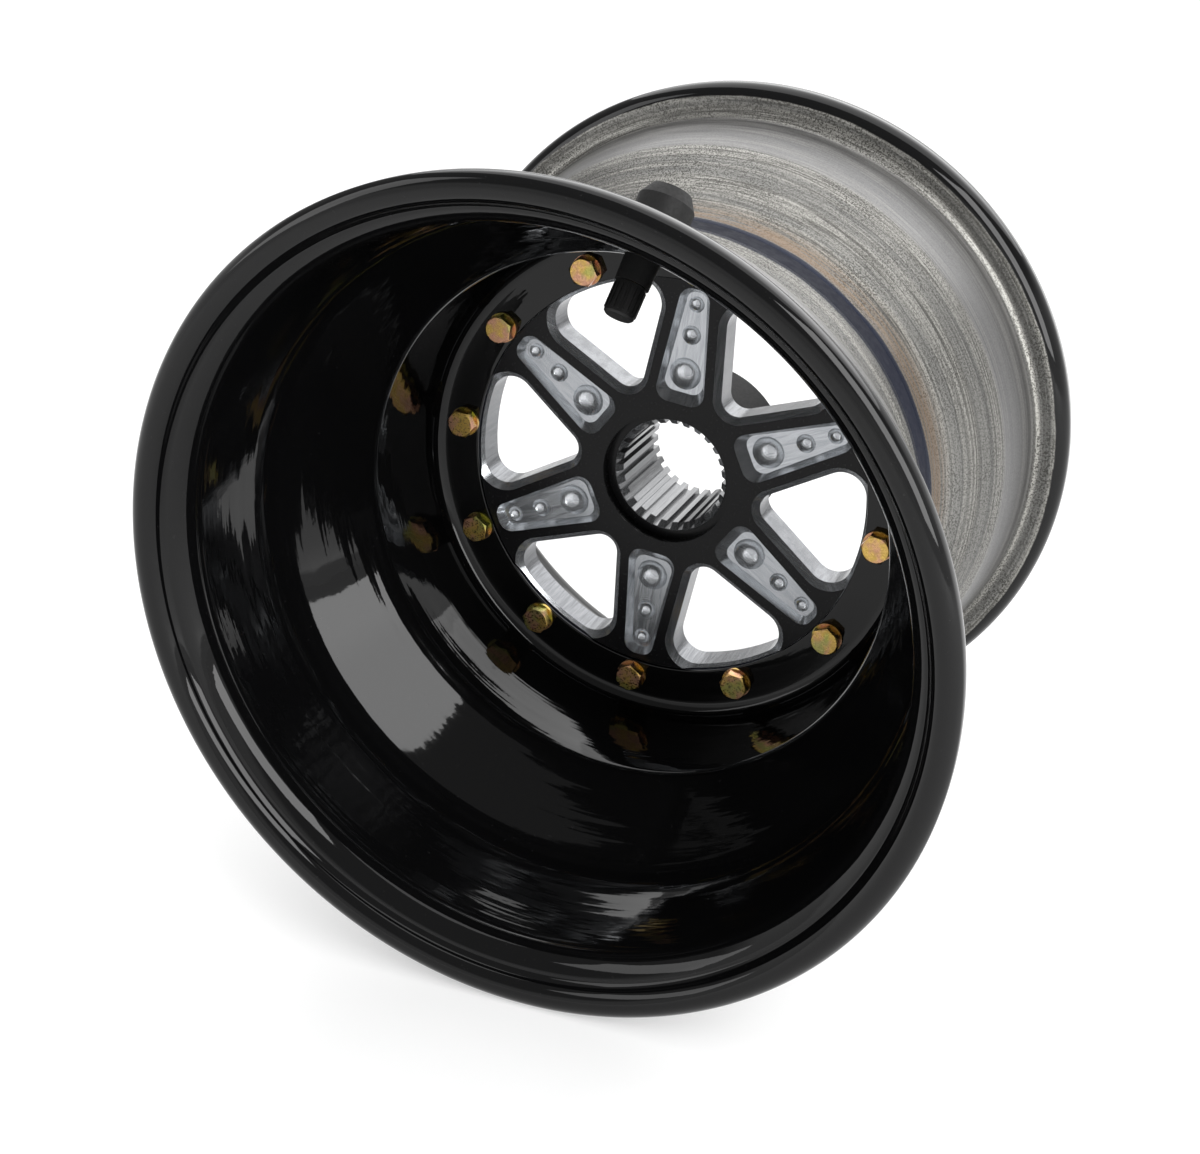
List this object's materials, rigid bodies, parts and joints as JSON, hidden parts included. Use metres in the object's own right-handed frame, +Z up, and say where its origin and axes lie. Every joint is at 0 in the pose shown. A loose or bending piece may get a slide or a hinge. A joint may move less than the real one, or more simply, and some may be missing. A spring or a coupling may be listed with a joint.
{
  "type": "car wheel",
  "caption": "Wide three-piece racing wheel: a deep and a shallow spun rim half bolted to a machined spoked centre with a splined bore, and a snap-in valve.",
  "frame": {"origin": "the wheel's centre, on its axis, halfway between the two lips", "axes": "+Y along the wheel's axis from the deep outer side to the hub side, +Z up, the wheel stands as in the picture"},
  "size_m": [0.282, 0.2294, 0.282],
  "materials": {
    "rim": "gloss black paint inside, bare spun metal on the tyre side",
    "centre": "black anodised with bare machined pockets and windows",
    "zinc_steel": "yellow zinc plate",
    "sealant": "satin",
    "valve_rubber": "matt",
    "brass": "turned",
    "spring_steel": "drawn wire",
    "cap_plastic": "moulded"
  },
  "bodies": {
    "wheel": {"outer_rim_half": "rim", "inner_rim_half": "rim", "wheel_centre": "centre", "rim_bolts": "zinc_steel", "bolt_washers": "zinc_steel", "joint_sealant": "sealant", "valve_body": "valve_rubber", "valve_stem": "brass", "valve_core": "brass", "valve_spring": "spring_steel"},
    "cap": {"valve_cap": "cap_plastic", "valve_cap_seal": "valve_rubber"},
    "pin": {"valve_pin": "brass", "valve_pin_seal": "valve_rubber"}
  },
  "joints": [
    {"name": "cap_off", "type": "slide", "parent": "wheel", "child": "cap", "axis": [-0.1874, -0.5803, -0.7925], "range_m": [0, 0.012]},
    {"name": "pin_press", "type": "slide", "parent": "wheel", "child": "pin", "axis": [0.1874, 0.5803, 0.7925], "range_m": [0, 0.001], "stiffness_N_per_m": 1500, "springref_m": -0.0005}
  ]
}
